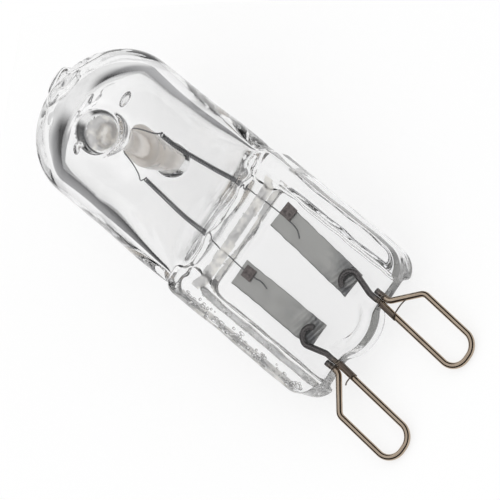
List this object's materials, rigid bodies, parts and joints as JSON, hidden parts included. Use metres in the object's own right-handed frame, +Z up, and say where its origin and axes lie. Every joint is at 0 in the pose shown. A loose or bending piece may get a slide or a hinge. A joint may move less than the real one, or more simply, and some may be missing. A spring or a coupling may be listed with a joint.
{
  "type": "halogen capsule bulb",
  "caption": "Clear quartz capsule bulb with a flat pinch seal, dimpled post, wound filament and two looped wire pins, lying at rest.",
  "frame": {"origin": "centre of the lamp's footprint, on the surface it lies on", "axes": "+X along the lamp towards the pins, +Y to the lamp's right as its front is seen with the pins down, +Z up out of its front face"},
  "size_m": [0.0442, 0.0144, 0.0157],
  "materials": {
    "quartz_glass": "clear, fire polished",
    "tungsten_wire": "dark grey drawn wire",
    "molybdenum_foil": "matte rolled foil",
    "molybdenum_tab": "spot welded, dull",
    "molybdenum_pin": "bright drawn wire",
    "nickel_ribbon": "dull pressed ribbon"
  },
  "bodies": {
    "root": {"envelope": "quartz_glass", "filament": "tungsten_wire", "foil_left": "molybdenum_foil", "foil_right": "molybdenum_foil", "weld_tab_left": "molybdenum_tab", "weld_tab_right": "molybdenum_tab", "pin_left": "molybdenum_pin", "pin_right": "molybdenum_pin", "lead_sleeve_left": "nickel_ribbon", "lead_sleeve_right": "nickel_ribbon"}
  },
  "joints": []
}
